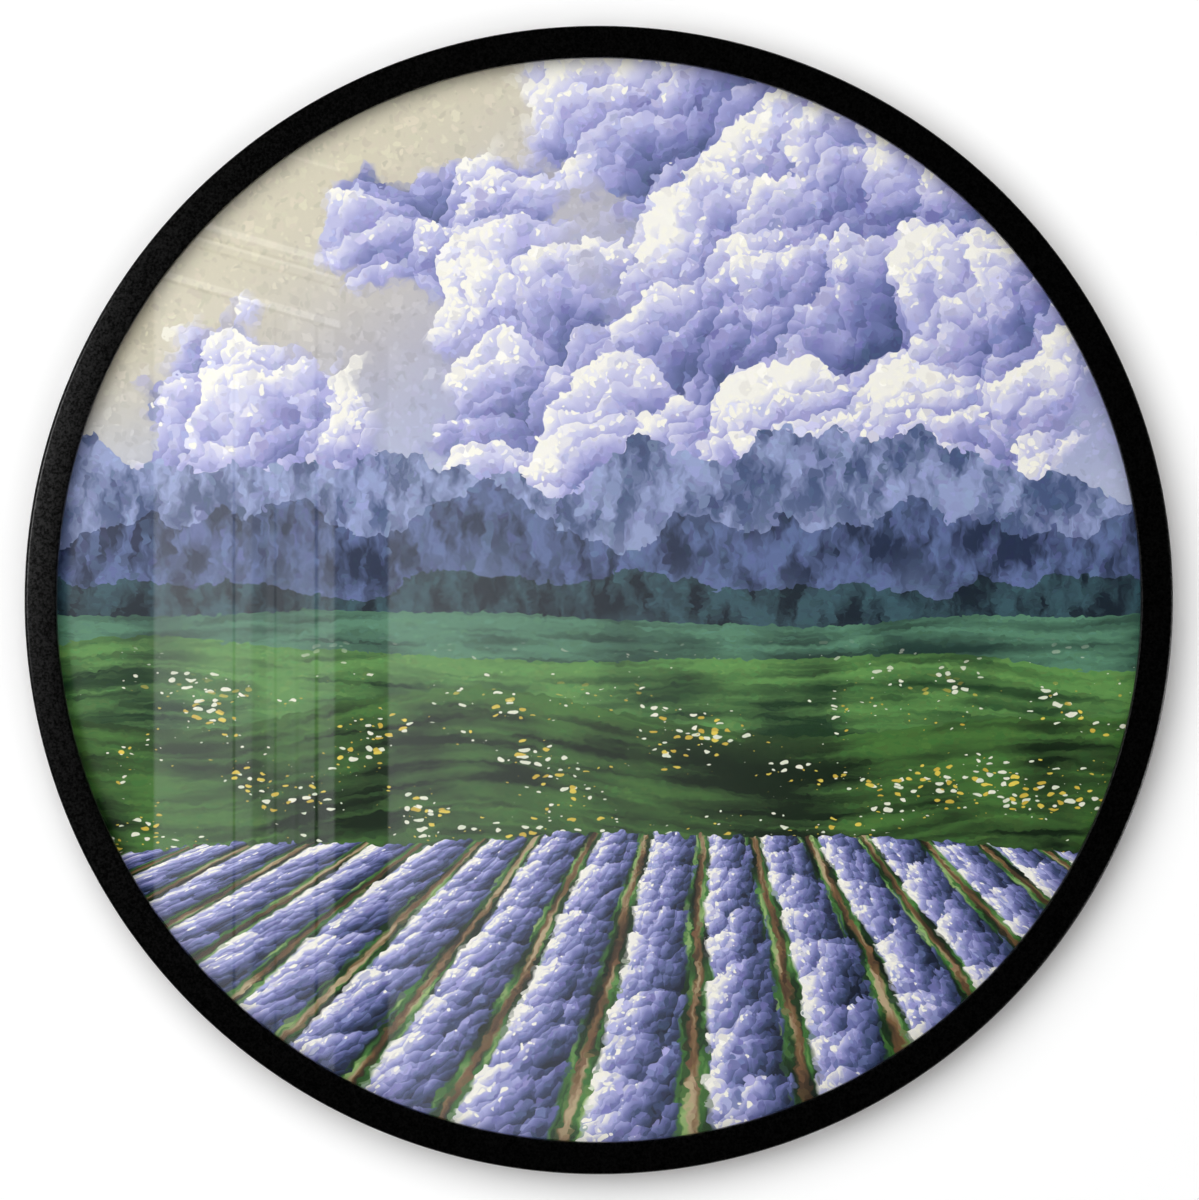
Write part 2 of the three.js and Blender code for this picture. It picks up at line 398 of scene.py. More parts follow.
def sweep_tree():
    """Carries a closed profile round the Y axis. The profile's X is counted from the path's radius."""
    tree, add, given = node_group("profile swept round a circle", "Geometry", {
        "Geometry": "Geometry",
        "Profile": "Object",
        "Radius": "Float",
        "Segments": "Int",
        "Finish": "Material",
    }, {"Geometry": "Geometry"})
    path = add("GeometryNodeCurvePrimitiveCircle", Resolution=given["Segments"], Radius=given["Radius"])
    path = add("GeometryNodeSetCurveNormal", path, mode="Z_UP")
    profile = add("GeometryNodeObjectInfo", given["Profile"], out="Geometry")
    mesh = add("GeometryNodeCurveToMesh", Curve=path, Profile_Curve=profile)
    mesh = add("GeometryNodeTransform", Geometry=mesh, Rotation=(pi / 2, 0, 0))
    mesh = add("GeometryNodeRealizeInstances", mesh)
    mesh = add("GeometryNodeSetMaterial", Geometry=mesh, Material=given["Finish"])
    add("NodeGroupOutput", mesh)
    return tree


def copies_tree():
    """Copies of one piece on a circle round the Y axis, each turned a little more than the last."""
    tree, add, given = node_group("copies round a circle", "Geometry", {
        "Geometry": "Geometry",
        "Piece": "Object",
        "Count": "Int",
        "Radius": "Float",
        "Height": "Float",
        "Twist": "Float",
        "Finish": "Material",
    }, {"Geometry": "Geometry"})
    index = add("GeometryNodeInputIndex")
    turn = add("Math ADD", index, 0.5)
    turn = add("Math DIVIDE", turn, given["Count"])
    angle = add("Math MULTIPLY", turn, tau)
    x = add("Math COSINE", angle)
    z = add("Math SINE", angle)
    x = add("Math MULTIPLY", x, given["Radius"])
    z = add("Math MULTIPLY", z, given["Radius"])
    place = add("CombineXYZ", x, given["Height"], z)
    points = add("GeometryNodePoints", Count=given["Count"], Position=place)
    twist = add("Math MULTIPLY", index, given["Twist"])
    piece = add("GeometryNodeObjectInfo", given["Piece"], out="Geometry")
    turned_by = add("CombineXYZ", 0.0, twist)
    copies = add("GeometryNodeInstanceOnPoints", Points=points, Instance=piece, Rotation=turned_by)
    copies = add("GeometryNodeRealizeInstances", copies)
    copies = add("GeometryNodeSetMaterial", Geometry=copies, Material=given["Finish"])
    add("NodeGroupOutput", copies)
    return tree


def made_real(piece):
    """Turn what a piece's modifiers make into its plain mesh."""
    graph = bpy.context.evaluated_depsgraph_get()
    mesh = bpy.data.meshes.new_from_object(piece.evaluated_get(graph))
    piece.modifiers.clear()
    piece.data = mesh
    return piece


def grown(name, tree, **values):
    """The piece that a Geometry Nodes tree makes from its named inputs."""
    piece = piece_of(name, [], [])
    modifier = piece.modifiers.new("tree", "NODES")
    modifier.node_group = tree
    for item in tree.interface.items_tree:
        if item.in_out == "INPUT" and item.name in values:
            modifier[item.identifier] = values[item.name]
    made_real(piece).data.name = name
    return piece


# Pieces


def ring_profile():
    """The ring's section as a closed flat curve: X is the radius less the sight radius, Y the depth."""
    outer = (RING_RADIUS - OUTER_ROUNDING, RING_FRONT + OUTER_ROUNDING)
    rear = (RING_RADIUS - REAR_CHAMFER, -REAR_CHAMFER)
    inner = (SIGHT_RADIUS + INNER_ROUNDING, RING_FRONT + INNER_ROUNDING)
    corners = arc(outer, OUTER_ROUNDING, -90, 0, 10)
    corners += arc(rear, REAR_CHAMFER, 0, 90, 3)
    corners += [(RABBET_RADIUS + RABBET_EASE, 0), (RABBET_RADIUS, -RABBET_EASE)]
    corners += [(RABBET_RADIUS, GLAZING_FRONT), (SIGHT_RADIUS + SIGHT_EASE, GLAZING_FRONT)]
    corners += [(SIGHT_RADIUS, GLAZING_FRONT - SIGHT_EASE)]
    corners += arc(inner, INNER_ROUNDING, 180, 270, 8)
    curve = bpy.data.curves.new("ring_profile", "CURVE")
    spline = curve.splines.new("POLY")
    spline.points.add(len(corners) - 1)
    spline.use_cyclic_u = True
    for point, (radius, depth) in zip(spline.points, corners):
        point.co = ((radius - SIGHT_RADIUS) * MM, depth * MM, 0, 1)
    return object_of("ring_profile", curve)


def painted_ring(finish):
    """The ring: its section, swept once round."""
    profile = ring_profile()
    ring = grown("painted_ring", sweep_tree(), Profile=profile, Radius=SIGHT_RADIUS * MM,
                 Segments=RING_SEGMENTS, Finish=finish)
    bpy.data.objects.remove(profile)
    dress(smoothed(ring, 35), "framed_poster", "black_painted_board", "frame_ring")


def layer_edges(node):
    """A layer's front, rear and radius in the CAD, in millimetres."""
    low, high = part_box(node)
    return low.y / MM, high.y / MM, high.x / MM


def layer(name, node, slot, rim_of, *finishes, sharp=30, gap=0):
    """A round layer as big as its solid. Its rim, from front to rear, comes from its front, rear and
    radius, and a gap thins it at the rear."""
    front, rear, radius = layer_edges(node)
    rear -= gap
    outline = [(0, front)] + rim_of(front, rear, radius) + [(0, rear)]
    body = turned(name, outline, LAYER_SEGMENTS, *finishes)
    dress(smoothed(body, sharp), "framed_poster", slot, node)
    return body


def glazing_rim(front, rear, radius):
    """A small bevel at both faces."""
    bevel = GLAZING_BEVEL
    inner = radius - bevel
    return [(inner, front), (radius, front + bevel), (radius, rear - bevel), (inner, rear)]


def filler_rim(front, rear, radius):
    """Foam between two sheets of paper, that stand a little proud of the foam."""
    inner = radius - FOAM_SHRINK
    paper = [(radius, front), (radius, front + FACING_PAPER), (inner, front + FACING_PAPER)]
    return paper + [(inner, rear - FACING_PAPER), (radius, rear - FACING_PAPER), (radius, rear)]


def layers():
    """The round layers behind the lip. The sheet is a hair thinner than its solid, so that its rear and
    the print are two surfaces."""
    print_rim = partial(eased, ease=PRINT_EASE, steps=2)
    board_rim = partial(eased, ease=BOARD_EASE)
    layer("clear_sheet", "glazing_panel", "clear_acrylic", glazing_rim, cast_acrylic(), gap=GLAZING_GAP)
    sheet = layer("printed_sheet", "poster_print", "printed_paper", print_rim, satin_print(),
                  coated_paper_back(), sharp=50)
    for polygon in sheet.data.polygons:
        polygon.material_index = 0 if polygon.normal.y < FACES_FRONT else 1
    layer("foam_board", "filler_board", "foam_board", filler_rim, polystyrene_foam_board())
    layer("back_board", "backing_board", "hardboard", board_rim, tempered_hardboard(), sharp=50)


def button_loop():
    """Two round ends of different sizes, joined by straight flanks that touch both."""
    end_radius = BUTTON_WIDTH / 2
    tip_at = BUTTON_REACH - BUTTON_TIP_RADIUS
    flank = acos((end_radius - BUTTON_TIP_RADIUS) / tip_at) * 180 / pi
    wide = arc((0, 0), end_radius, flank, 360 - flank, 32)
    narrow = arc((tip_at, 0), BUTTON_TIP_RADIUS, -flank, flank, 24)
    return [Vector(point) for point in wide + narrow]


def turn_button(name, finish):
    """A flat plate on its screw's hole, with a tip that bends away from the board."""
    bend_at = BUTTON_REACH - BUTTON_TIP_BEND
    stations = [bend_at + BUTTON_TIP_BEND * k / BEND_STEPS for k in range(BEND_STEPS)]
    outside = with_stations(button_loop(), stations)
    ties = [pair_at(outside, x) for x in stations]
    loops = [outside, round_hole(0, BUTTON_HOLE_RADIUS)]
    return plate(name, loops, ties, lambda x: BUTTON_TIP_LIFT * ramp_up(x, bend_at, BUTTON_REACH),
                 BUTTON_THICKNESS, finish)


def turn_buttons(finish):
    """Each button points from its screw to the middle of the back, and moves with its own body."""
    for index in range(BUTTON_COUNT):
        angle = (index + 0.5) * tau / BUTTON_COUNT
        button = turn_button("stamped_button_%d" % (index + 1), finish)
        pivot = (REAR_MIDDLE * cos(angle), BUTTON_RUNNING, REAR_MIDDLE * sin(angle))
        placed(button, pivot, pi - angle)
        node = "turn_button_%d" % (index + 1)
        dress(button, node, "zinc_plated_steel", node)


def cut_thread(screw):
    """Raise a helical thread on the shank, fading out at the tip."""
    for vertex in screw.data.vertices:
        x, y, z = vertex.co / MM
        radius = sqrt(x * x + z * z)
        if y > -THREAD_PITCH / 2 or radius < 1e-6:
            continue
        wave = (y / THREAD_PITCH + atan2(z, x) / tau) % 1
        depth = THREAD_DEPTH * min(1, (y + SCREW_LENGTH) / SCREW_TIP) * abs(2 * wave - 1)
        vertex.co.x *= (radius - depth) / radius
        vertex.co.z *= (radius - depth) / radius


def screw_shape():
    """A pan-head screw with its head's underside at y = 0."""
    tip = SCREW_TIP - SCREW_LENGTH
    steps = [k / TIP_STEPS for k in range(TIP_STEPS + 1)]
    outline = [(SHANK_RADIUS * step, SCREW_TIP * step - SCREW_LENGTH) for step in steps]
    rows = int(-tip / THREAD_PITCH * ROWS_PER_PITCH)
    outline += [(SHANK_RADIUS, tip - tip * k / rows) for k in range(1, rows + 1)]
    half = HEAD_HEIGHT / 2
    outline += [(HEAD_RADIUS - HEAD_EASE, 0), (HEAD_RADIUS, HEAD_EASE), (HEAD_RADIUS, half)]
    outline += arc((0, half), HEAD_RADIUS, 0, 90, 10, half)[1:-1] + [(0, HEAD_HEIGHT)]
    screw = turned("screw", outline, SMALL_SEGMENTS)
    cut_thread(screw)
    cutter = recess_cutter()
    cut = screw.modifiers.new("recess", "BOOLEAN")
    cut.object = cutter
    cut.solver = "EXACT"
    made_real(screw)
    bpy.data.objects.remove(cutter)
    return smoothed(screw)


def recess_cutter():
    """A cross that narrows towards its floor, a little taller than the head."""
    near, far = RECESS_WIDTH / 2, RECESS_SPAN / 2
    corners = []
    for quarter in range(4):
        turn = quarter * pi / 2
        for x, z in ((near, near), (near, far), (-near, far)):
            corners.append((x * cos(turn) - z * sin(turn), x * sin(turn) + z * cos(turn)))
    count = len(corners)
    points = []
    for level in (-1, 0, 1):
        spread = 1 + level * RECESS_TAPER
        y = HEAD_HEIGHT + level * RECESS_DEPTH
        points += [(x * spread, y, z * spread) for x, z in corners]
    faces = [list(range(count)), list(reversed(range(2 * count, 3 * count)))]
    for row in (0, count):
        for k in range(count):
            following = (k + 1) % count
            faces.append((row + k, row + count + k, row + count + following, row + following))
    return piece_of("recess", points, faces)


def round_the_ring(name, shape, count, finish, slot, node, tree, height=0.0, twist=0.0):
    """Copies of a shape on the middle of the ring's rear, in one piece for all of its CAD nodes."""
    copies = grown(name, tree, Piece=shape, Count=count, Radius=REAR_MIDDLE * MM, Height=height * MM,
                   Twist=twist, Finish=finish)
    bpy.data.objects.remove(shape)
    dress(copies, "framed_poster", slot, *["%s_%d" % (node, index + 1) for index in range(count)])


def bumper_shape():
    """A round rubber foot, with a shallow dimple in its top from the mould."""
    shoulder = (BUMPER_RADIUS - BUMPER_ROUNDING, BUMPER_HEIGHT - BUMPER_ROUNDING)
    outline = [(0, 0), (BUMPER_RADIUS - BUMPER_EASE, 0), (BUMPER_RADIUS, BUMPER_EASE)]
    outline += arc(shoulder, BUMPER_ROUNDING, 0, 90, 8)
    dimple = BUMPER_RADIUS / 2
    for k in range(DIMPLE_STEPS + 1):
        part = k / DIMPLE_STEPS
        outline.append((dimple * (1 - part), BUMPER_HEIGHT - BUMPER_DIMPLE * ramp_up(part, 0, 1)))
    return smoothed(turned("bumper", outline, BUMPER_SEGMENTS))


def hanger_loop(half_width):
    """Round corners, and teeth along the lower edge."""
    half_length = HANGER_TEETH / 2 + HANGER_RAMP + HANGER_END
    loop = [(-TOOTH_COUNT / 2 * TOOTH_PITCH, -half_width)]
    for tooth in range(TOOTH_COUNT):
        start = (tooth - TOOTH_COUNT / 2) * TOOTH_PITCH
        loop.append((start + TOOTH_PITCH / 2, TOOTH_DEPTH - half_width))
        loop.append((start + TOOTH_PITCH, -half_width))
    corner = (half_length - HANGER_CORNER, half_width - HANGER_CORNER)
    for quarter, (side_x, side_z) in enumerate(((1, -1), (1, 1), (-1, 1), (-1, -1))):
        middle = (side_x * corner[0], side_z * corner[1])
        loop += arc(middle, HANGER_CORNER, 90 * quarter - 90, 90 * quarter, 10)
    return [Vector(point) for point in loop]


def sawtooth_hanger(finish):
    """A strip with its ends flat on the ring and its toothed middle lifted off it."""
    low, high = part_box("sawtooth_hanger")
    middle = (low.z + high.z) / 2 / MM
    flat = HANGER_TEETH / 2
    ramp = flat + HANGER_RAMP
    steps = [flat + HANGER_RAMP * k / BEND_STEPS for k in range(BEND_STEPS + 1)]
    stations = [-x for x in steps] + steps
    outside = with_stations(hanger_loop((high.z - low.z) / 2 / MM), stations)
    holes = [round_hole(side * (ramp + HANGER_END / 2), HANGER_HOLE_RADIUS) for side in (-1, 1)]
    ties = [pair_at(outside, x) for x in stations]
    hanger = plate("toothed_hanger", [outside] + holes, ties,
                   lambda x: HANGER_LIFT * (1 - ramp_up(abs(x), flat, ramp)), HANGER_THICKNESS, finish)
    placed(hanger, (0, 0, middle))
    dress(hanger, "framed_poster", "zinc_plated_steel", "sawtooth_hanger")


def nail(name, finish):
    """A flat-headed nail with grip grooves under its head, its head's underside at y = 0."""
    outline = [(0, -NAIL_LENGTH), (NAIL_SHANK_RADIUS, NAIL_TIP - NAIL_LENGTH)]
    for groove in range(NAIL_GROOVES):
        y = -LAST_GROOVE - GROOVE_PITCH * (NAIL_GROOVES - groove)
        for neck, rise in ((1, 0), (GROOVE_NECK, GROOVE_HALF), (1, 2 * GROOVE_HALF)):
            outline.append((NAIL_SHANK_RADIUS * neck, y + rise))
    outline += [(NAIL_SHANK_RADIUS, 0), (NAIL_HEAD_RADIUS - NAIL_EASE, 0), (NAIL_HEAD_RADIUS, NAIL_EASE)]
    radius, half = NAIL_HEAD_RADIUS / 2, NAIL_HEAD_HEIGHT / 2
    outline += arc((radius, half), radius, 0, 90, 6, half)
    outline += [(0, NAIL_HEAD_HEIGHT)]
    return smoothed(turned(name, outline, SMALL_SEGMENTS, finish))


def hanger_nails(finish):
    """One nail through each end of the hanger."""
    for side in ("left", "right"):
        node = "hanger_nail_" + side
        low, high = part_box(node)
        middle = (low + high) / 2 / MM
        place = (middle.x, HANGER_THICKNESS, middle.z)
        dress(placed(nail("steel_nail_" + side, finish), place), "framed_poster", "screw_steel", node)


# Finishes


def principled(add, relief, strength, depth, **values):
    """The surface shader of a finish, linked to its output. The relief's depth is in millimetres."""
    normal = add("Bump", Strength=strength, Distance=depth * MM, Height=relief)
    add("OutputMaterial", add("BsdfPrincipled", Normal=normal, **values))


def sprayed_black_board():
    """Fibreboard under matt black sprayed paint, with a fine grain of dried droplets, whose pits hold
    back its dull shine. The grain is drawn coarser than real droplets, so that it shows. Behind, one
    thin coat lets the brown board through."""
    material, add = new_material("sprayed_black_board")
    place = add("TexCoord", out="Object")
    grain = add("TexNoise", place, Scale=1 / (1.3 * MM), Detail=2.0, Roughness=0.6)
    cloud = add("TexNoise", place, Scale=1 / (35 * MM), Detail=3.0)
    paint = add("ValToRGB", grain, stops={0.3: "#000000", 0.7: "#040404"})
    thin = add("ValToRGB", grain, stops={0.25: "#0d0b0a", 0.6: "#1f1813", 0.75: "#4a3524"})
    behind = add("MapRange", add("SeparateXYZ", place, out="Y"), -0.9 * MM, -0.1 * MM)
    patchy = add("MapRange", cloud, 0.35, 0.6, 0.55)
    thinned = add("Math MULTIPLY", behind, patchy)
    colour = add("Mix RGBA", thinned, paint, thin)
    dull = add("MapRange", grain, 0.3, 0.7, 0.3, 0.42)
    shine = add("MapRange", grain, 0.35, 0.65, 0.2, 0.68)
    principled(add, relief=grain, strength=1.0, depth=0.1,
               Base_Color=colour, Roughness=dull, Specular_IOR_Level=shine, IOR=1.45)
    return material


def cast_acrylic():
    """Clear cast acrylic, polished: it mirrors the room faintly and lets the print's light through. The
    front face carries the mirror image of both faces."""
    material, add = new_material("cast_acrylic")
    surface = add("NewGeometry").node.outputs
    facing = add("SeparateXYZ", surface["Normal"], out="Y")
    facing = add("Math MULTIPLY_ADD", surface["Backfacing"], 2.0, facing)
    front = add("Math LESS_THAN", facing, FACES_FRONT)
    both_faces = add("Math MULTIPLY", add("Fresnel", ACRYLIC_IOR), MIRRORING_FACES)
    share = add("Math MULTIPLY", both_faces, front, use_clamp=True)
    clear = add("BsdfTransparent", "#fefefe")
    mirror = add("BsdfAnisotropic", Roughness=0.0)
    add("OutputMaterial", add("MixShader", share, clear, mirror))
    return material


def coated_paper_back():
    """The bare back and cut edge of coated paper: off-white, with a faint fibre cloudiness."""
    material, add = new_material("coated_paper_back")
    place = add("TexCoord", out="Object")
    fibres = add("TexNoise", place, Scale=1 / (4 * MM), Detail=5.0, Roughness=0.7)
    colour = add("ValToRGB", fibres, stops={0.3: "#e6e3da", 0.7: "#f3f1ea"})
    principled(add, relief=fibres, strength=0.2, depth=0.05, Base_Color=colour, Roughness=0.7)
    return material


def polystyrene_foam_board():
    """White clay-coated paper on expanded polystyrene foam, whose beads show at the cut rim."""
    material, add = new_material("polystyrene_foam_board")
    place = add("TexCoord", out="Object")
    beads = add("TexVoronoi", place, Scale=1 / (1.6 * MM))
    fibres = add("TexNoise", place, Scale=1 / (5 * MM), Detail=5.0)
    paper = add("ValToRGB", fibres, stops={0.3: "#e9e7df", 0.7: "#f4f2ec"})
    foam = add("ValToRGB", beads, stops={0.1: "#fbfbf9", 0.8: "#d9d8d2"})
    front, rear, _ = layer_edges("filler_board")
    span = add("Math SUBTRACT", add("SeparateXYZ", place, out="Y"), (front + rear) / 2 * MM)
    span = add("Math ABSOLUTE", span)
    faced = add("Math GREATER_THAN", span, ((rear - front) / 2 - FACING_PAPER) * MM)
    colour = add("Mix RGBA", faced, foam, paper)
    principled(add, relief=beads, strength=0.3, depth=0.1, Base_Color=colour, Roughness=0.75)
    return material


def tempered_hardboard():
    """Pressed wood fibre, smooth side out: mid brown, mottled, with lighter and darker fibres."""
    material, add = new_material("tempered_hardboard")
    place = add("TexCoord", out="Object")
    mottle = add("TexNoise", place, Scale=1 / (28 * MM), Detail=4.0, Roughness=0.6)
    fibres = add("TexNoise", place, Scale=1 / (3.2 * MM), Detail=4.0, Roughness=0.75, Distortion=1.6)
    flecks = add("TexVoronoi", place, Scale=1 / (6 * MM))
    flecks = add("MapRange", flecks, 0.1, 0.22, 0.8, 0.0)
    ground = add("ValToRGB", mottle, stops={0.3: "#6a4a2f", 0.7: "#8a6643"})
    wood = add("ValToRGB", fibres, stops={0.3: "#4f3522", 0.5: "#7d5a3a", 0.7: "#a98258"})
    colour = add("Mix RGBA", 0.55, ground, wood)
    colour = add("Mix RGBA", flecks, colour, "#5a3d27")
    dull = add("MapRange", fibres, 0.3, 0.7, 0.5, 0.68)
    principled(add, relief=fibres, strength=0.3, depth=0.12, Base_Color=colour, Roughness=dull)
    return material


def bright_zinc_plate():
    """Stamped sheet steel, bright zinc plated: pale grey with a bluish cast, slightly clouded."""
    material, add = new_material("bright_zinc_plate")
    place = add("TexCoord", out="Object")
    cloud = add("TexNoise", place, Scale=1 / (7 * MM), Detail=4.0, Roughness=0.6)
    drawn = add("Mapping", place, Scale=(1, 1, 9))
    scratch = add("TexNoise", drawn, Scale=1 / (5 * MM), Detail=3.0)
    colour = add("ValToRGB", cloud, stops={0.3: "#a4a9b0", 0.5: "#bfc4c8", 0.7: "#cfcdc2"})
    dull = add("MapRange", cloud, 0.3, 0.7, 0.28, 0.45)
    principled(add, relief=scratch, strength=0.2, depth=0.05,
               Base_Color=colour, Metallic=1.0, Roughness=dull)
    return material


def nickel_plated_steel():
    """Cold-headed steel, nickel plated: warmer and brighter than the plates, with fine tool marks."""
    material, add = new_material("nickel_plated_steel")
    place = add("TexCoord", out="Object")
    marks = add("TexNoise", place, Scale=1 / (1.2 * MM), Detail=3.0)
    colour = add("ValToRGB", marks, stops={0.3: "#b3aea2", 0.7: "#d8d4ca"})
    dull = add("MapRange", marks, 0.3, 0.7, 0.2, 0.36)
    principled(add, relief=marks, strength=0.15, depth=0.03,
               Base_Color=colour, Metallic=1.0, Roughness=dull)
    return material


def moulded_rubber():
    """Moulded black rubber: dull, with a dusty bloom and the fine texture of its mould."""
    material, add = new_material("moulded_rubber")
    place = add("TexCoord", out="Object")
    skin = add("TexNoise", place, Scale=1 / (0.8 * MM), Detail=3.0)
    bloom = add("TexNoise", place, Scale=1 / (4 * MM), Detail=3.0)
    colour = add("ValToRGB", bloom, stops={0.35: "#151516", 0.7: "#2a2a2b"})
    principled(add, relief=skin, strength=0.3, depth=0.06, Base_Color=colour, Roughness=0.8)
    return material


def satin_print():
    """Ink on satin photo paper: full colours, a soft sheen and a faint tooth. The tooth is drawn coarser
    than the real one, so that it shows."""
    material, add = new_material("satin_print")
    place = add("TexCoord", out="Object")
    tooth = add("TexNoise", place, Scale=1 / (2.7 * MM), Detail=2.0)
    principled(add, relief=tooth, strength=0.1, depth=0.03,
               Base_Color=painted_picture(add), Roughness=0.55)
    return material


# Picture


def flat_place(add, unit):
    """A place on an upright sheet, across and up, counted in a unit given in millimetres."""
    spot = add("SeparateXYZ", add("TexCoord", out="Object")).node.outputs
    return [add("Math MULTIPLY", spot[axis], 1 / (unit * MM)) for axis in "XZ"]


def puff_light(add, place, size):
    """How far each round puff of cloud or bush turns to the light, from -1 to 1."""
    centre = add("TexVoronoi 2D", place, Scale=1 / size, Randomness=0.9, out="Position")
    away = add("VectorMath SUBTRACT", place, centre)
    return add("VectorMath DOT_PRODUCT", away, SUN / (0.68 * size))


def below_line(add, across, height, base, swing, pace, start, detail):
    """How far a place lies below a wavy skyline."""
    along = add("Math MULTIPLY_ADD", across, pace, start)
    wave = add("TexNoise 1D", W=along, Scale=1.0, Detail=detail)
    line = add("Math MULTIPLY_ADD", wave, 2 * swing, base - swing)
    return add("Math SUBTRACT", line, height)


def painted_sky(add, place, height):
    """Cream light at the upper left, lavender overhead and a pale band above the hills."""
    sunward = add("VectorMath DOT_PRODUCT", place, SUN)
    warm = add("MapRange SMOOTHSTEP", sunward, 0.25, 0.95)
    high = add("MapRange SMOOTHSTEP", height, HORIZON, 0.5)
    sky = add("Mix RGBA", warm, "#9ea4d4", "#dad3bb")
    return add("Mix RGBA", high, "#c3cbe0", sky)


def painted_clouds(add, place, sky):
    """Heaped clouds, each puff lit on its sunny side. Gives the colour and how bright the cloud is."""
    curl = add("TexNoise 2D", place, Scale=5.0, Detail=2.0, out="Color")
    curl = add("VectorMath SUBTRACT", curl, (0.5, 0.5, 0.5))
    curled = add("VectorMath MULTIPLY_ADD", curl, (0.14, 0.14, 0), place)
    mass = add("TexNoise 2D", place, Scale=2.4, Detail=4.0, Roughness=0.6)
    mass = add("Math MULTIPLY", mass, 0.6)
    for heap, reach in (((0.55, 0.45, 0), 0.62), ((-0.02, 0.3, 0), 0.4), ((-0.66, 0.22, 0), 0.42),
                        ((0.2, 0.86, 0), 0.5), ((-0.3, 0.66, 0), 0.3)):
        gap = add("VectorMath DISTANCE", curled, heap)
        part = add("MapRange SMOOTHSTEP", gap, reach, 0.0, 0.0, 0.55)
        mass = add("Math ADD", mass, part)
    tone = None
    for size, share in ((0.25, 0.26), (0.115, 0.2), (0.05, 0.12)):
        light = puff_light(add, curled, size)
        tone = add("Math MULTIPLY_ADD", light, share, tone or 0.56)
        mass = add("Math MULTIPLY_ADD", light, share / 5, mass)
    cover = add("MapRange SMOOTHSTEP", mass, 0.47, 0.55)
    shades = {0.08: "#46588c", 0.3: "#777fbc", 0.5: "#a9aade", 0.68: "#d6d6f2", 0.84: "#fcfaf2"}
    cloud = add("ValToRGB", tone, stops=shades)
    colour = add("Mix RGBA", cover, sky, cloud)
    return colour, add("Math MULTIPLY", tone, cover)


def painted_mountains(add, place, across, height, colour):
    """Three ridges, each nearer one darker, with a sunny and a shaded side to every rib."""
    tilted = add("Mapping", place, Rotation=(0, 0, 0.5), Scale=(1.9, 0.75, 1))
    ribs = {"Scale": 7.0, "Detail": 4.0, "Roughness": 0.6}
    here = add("TexNoise 2D", tilted, **ribs)
    sunward = add("VectorMath ADD", tilted, SUN * 0.035)
    there = add("TexNoise 2D", sunward, **ribs)
    slope = add("Math SUBTRACT", here, there)
    light = add("MapRange", slope, -0.1, 0.12)
    land = None
    for base, swing, pace, start, dark, bright, mist in (
            (0.27, 0.27, 1.9, 3.7, "#465b8a", "#9ba8d4", "#98a5cc"),
            (0.14, 0.20, 2.5, 8.2, "#1f3358", "#6376a8", "#6a7da6"),
            (0.03, 0.10, 3.6, 1.3, "#0f2636", "#38606c", "#446874")):
        deep = below_line(add, across, height, base, swing, pace, start, 5.0)
        rock = add("Mix RGBA", light, dark, bright)
        haze = add("MapRange SMOOTHSTEP", deep, 0.06, swing * 1.3)
        rock = add("Mix RGBA", haze, rock, mist)
        inside = add("Math GREATER_THAN", deep, 0.0)
        colour = add("Mix RGBA", inside, colour, rock)
        land = add("Math MAXIMUM", inside, land or 0.0)
    return colour, land


def painted_hills(add, across, height, colour):
    """Rolling meadows, with strokes of grass that follow each hill's shape."""
    place = add("CombineXYZ", across, height)
    patches = add("TexNoise 2D", place, Scale=4.5, Detail=1.0)
    for base, swing, pace, start, dark, bright in (
            (-0.03, 0.05, 1.3, 5.1, "#1a4239", "#5a8f72"),
            (-0.1, 0.09, 1.1, 2.4, "#12421c", "#659c4e"),
            (-0.22, 0.12, 0.9, 7.9, "#0b280a", "#4c8032")):
        deep = below_line(add, across, height, base, swing, pace, start, 1.0)
        drawn = add("CombineXYZ", add("Math MULTIPLY", across, 4.0), add("Math MULTIPLY", deep, 45.0))
        strokes = add("TexNoise 2D", drawn, Scale=1.0, Detail=3.0, Distortion=0.5)
        strokes = add("Math ADD", strokes, patches)
        crest = add("MapRange", deep, 0.06, 0.0, 0.0, 0.3)
        light = add("MapRange", strokes, 0.78, 1.25)
        light = add("Math ADD", light, crest, use_clamp=True)
        grass = add("Mix RGBA", light, dark, bright)
        inside = add("Math GREATER_THAN", deep, 0.0)
        colour = add("Mix RGBA", inside, colour, grass)
    return colour


